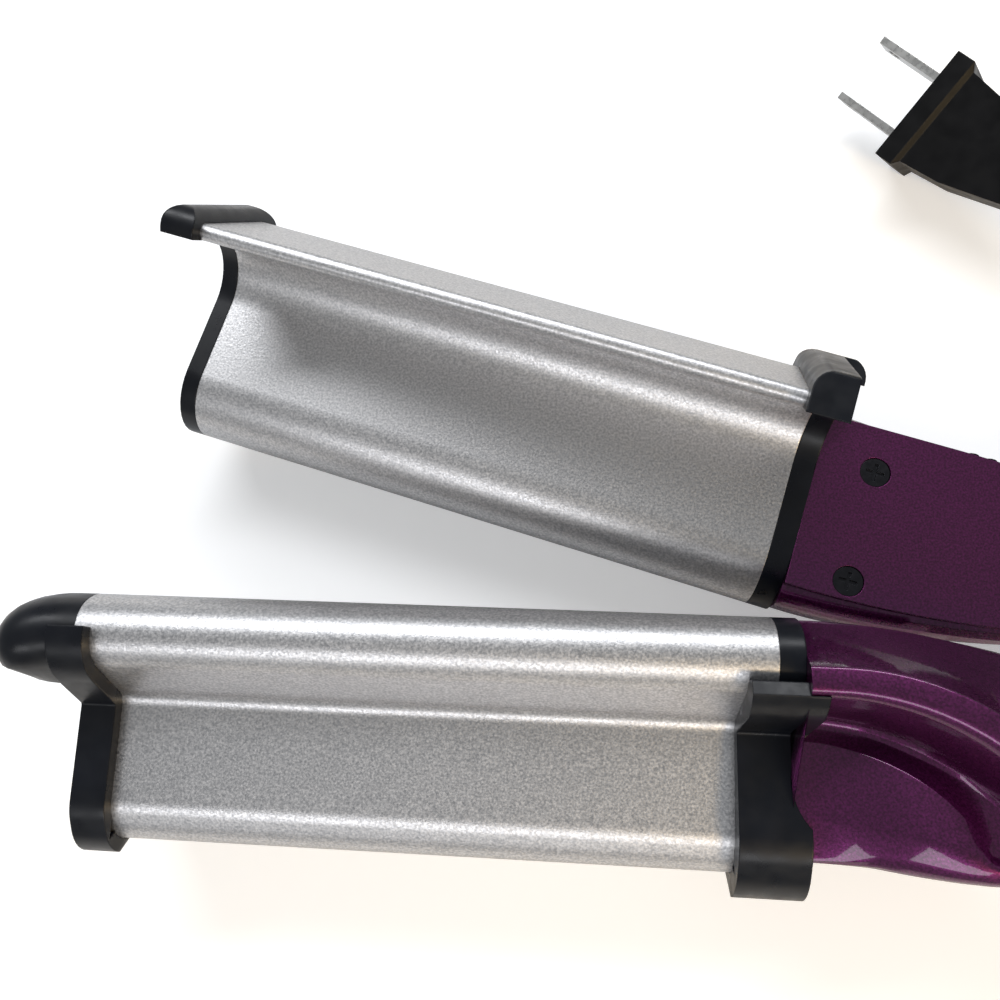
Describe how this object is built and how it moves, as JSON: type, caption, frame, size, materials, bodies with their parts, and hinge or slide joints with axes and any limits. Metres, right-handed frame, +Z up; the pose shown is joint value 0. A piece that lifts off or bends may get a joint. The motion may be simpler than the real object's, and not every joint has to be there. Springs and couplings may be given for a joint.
{
  "type": "hair waver",
  "caption": "Hand-held hair waver with two nesting wave-shaped heated jaws on a spring hinge, sculpted arms, thumb controls and a swivel cord with a flat-blade plug.",
  "frame": {"origin": "on the surface that it lies on, under the middle of the tool's own box without the free cord", "axes": "+X along the lower jaw towards the handle's rear, +Y from the lower jaw towards the upper one, +Z up along the hinge pin"},
  "size_m": [0.3608, 0.2088, 0.0532],
  "materials": {
    "plate_metal": "satin, fine metallic speckle",
    "black_plastic": "fine matte",
    "purple_plastic": "metallic plum gloss",
    "ceramic": "matte white",
    "steel": "bright",
    "dark_steel": "black oxide",
    "soft_black": "matte",
    "board": "satin",
    "lens": "clear amber"
  },
  "bodies": {
    "lower_arm": {"lower_plate": "plate_metal", "lower_heater": "ceramic", "lower_heater_clip": "steel", "lower_tip_cap": "black_plastic", "cool_tip": "black_plastic", "lower_collar": "black_plastic", "lower_shell": "purple_plastic", "lower_cover": "purple_plastic", "lower_cover_screws": "dark_steel", "lower_grip_liner": "black_plastic", "hinge_housing": "black_plastic", "hinge_pin": "steel", "hinge_caps": "purple_plastic", "hinge_spring": "steel", "cord_lead": "soft_black", "cord_coil": "soft_black", "cord_tie": "black_plastic", "cord_end": "soft_black", "plug_body": "soft_black", "plug_blades": "steel"},
    "upper_arm": {"upper_plate": "plate_metal", "upper_heater": "ceramic", "upper_heater_clip": "steel", "upper_tip_cap": "black_plastic", "upper_collar": "black_plastic", "upper_shell": "purple_plastic", "upper_cover": "purple_plastic", "upper_cover_screws": "dark_steel", "upper_grip_liner": "black_plastic", "hinge_knuckle": "black_plastic", "thumb_pad": "soft_black", "control_panel": "black_plastic", "circuit_board": "board", "dial_control": "black_plastic", "button_spring": "steel", "indicator_lens": "lens", "thermal_fuse": "steel"},
    "power_button": {"power_button": "black_plastic"},
    "heat_dial": {"heat_dial": "black_plastic"},
    "cord_swivel": {"strain_relief": "soft_black"}
  },
  "joints": [
    {"name": "jaw_hinge", "type": "hinge", "parent": "lower_arm", "child": "upper_arm", "pos_m": [0.101, -0.03216, 0.0266], "axis": [0, 0, 1], "range_deg": [0, 15.8], "stiffness_Nm_per_rad": 0.15, "springref_deg": -28.65},
    {"name": "button_press", "type": "slide", "parent": "upper_arm", "child": "power_button", "axis": [-0.2723, -0.9622, 0], "range_m": [0, 0.0012], "stiffness_N_per_m": 400, "springref_m": -0.001, "deforming": ["button_spring"]},
    {"name": "dial_turn", "type": "hinge", "parent": "upper_arm", "child": "heat_dial", "pos_m": [0.06672, -0.00272, 0.0266], "axis": [0.2723, 0.9622, 0], "range_deg": [0, 270]},
    {"name": "cord_turn", "type": "hinge", "parent": "lower_arm", "child": "cord_swivel", "pos_m": [0.125, -0.03216, 0.0266], "axis": [1, 0, 0], "continuous": true}
  ]
}
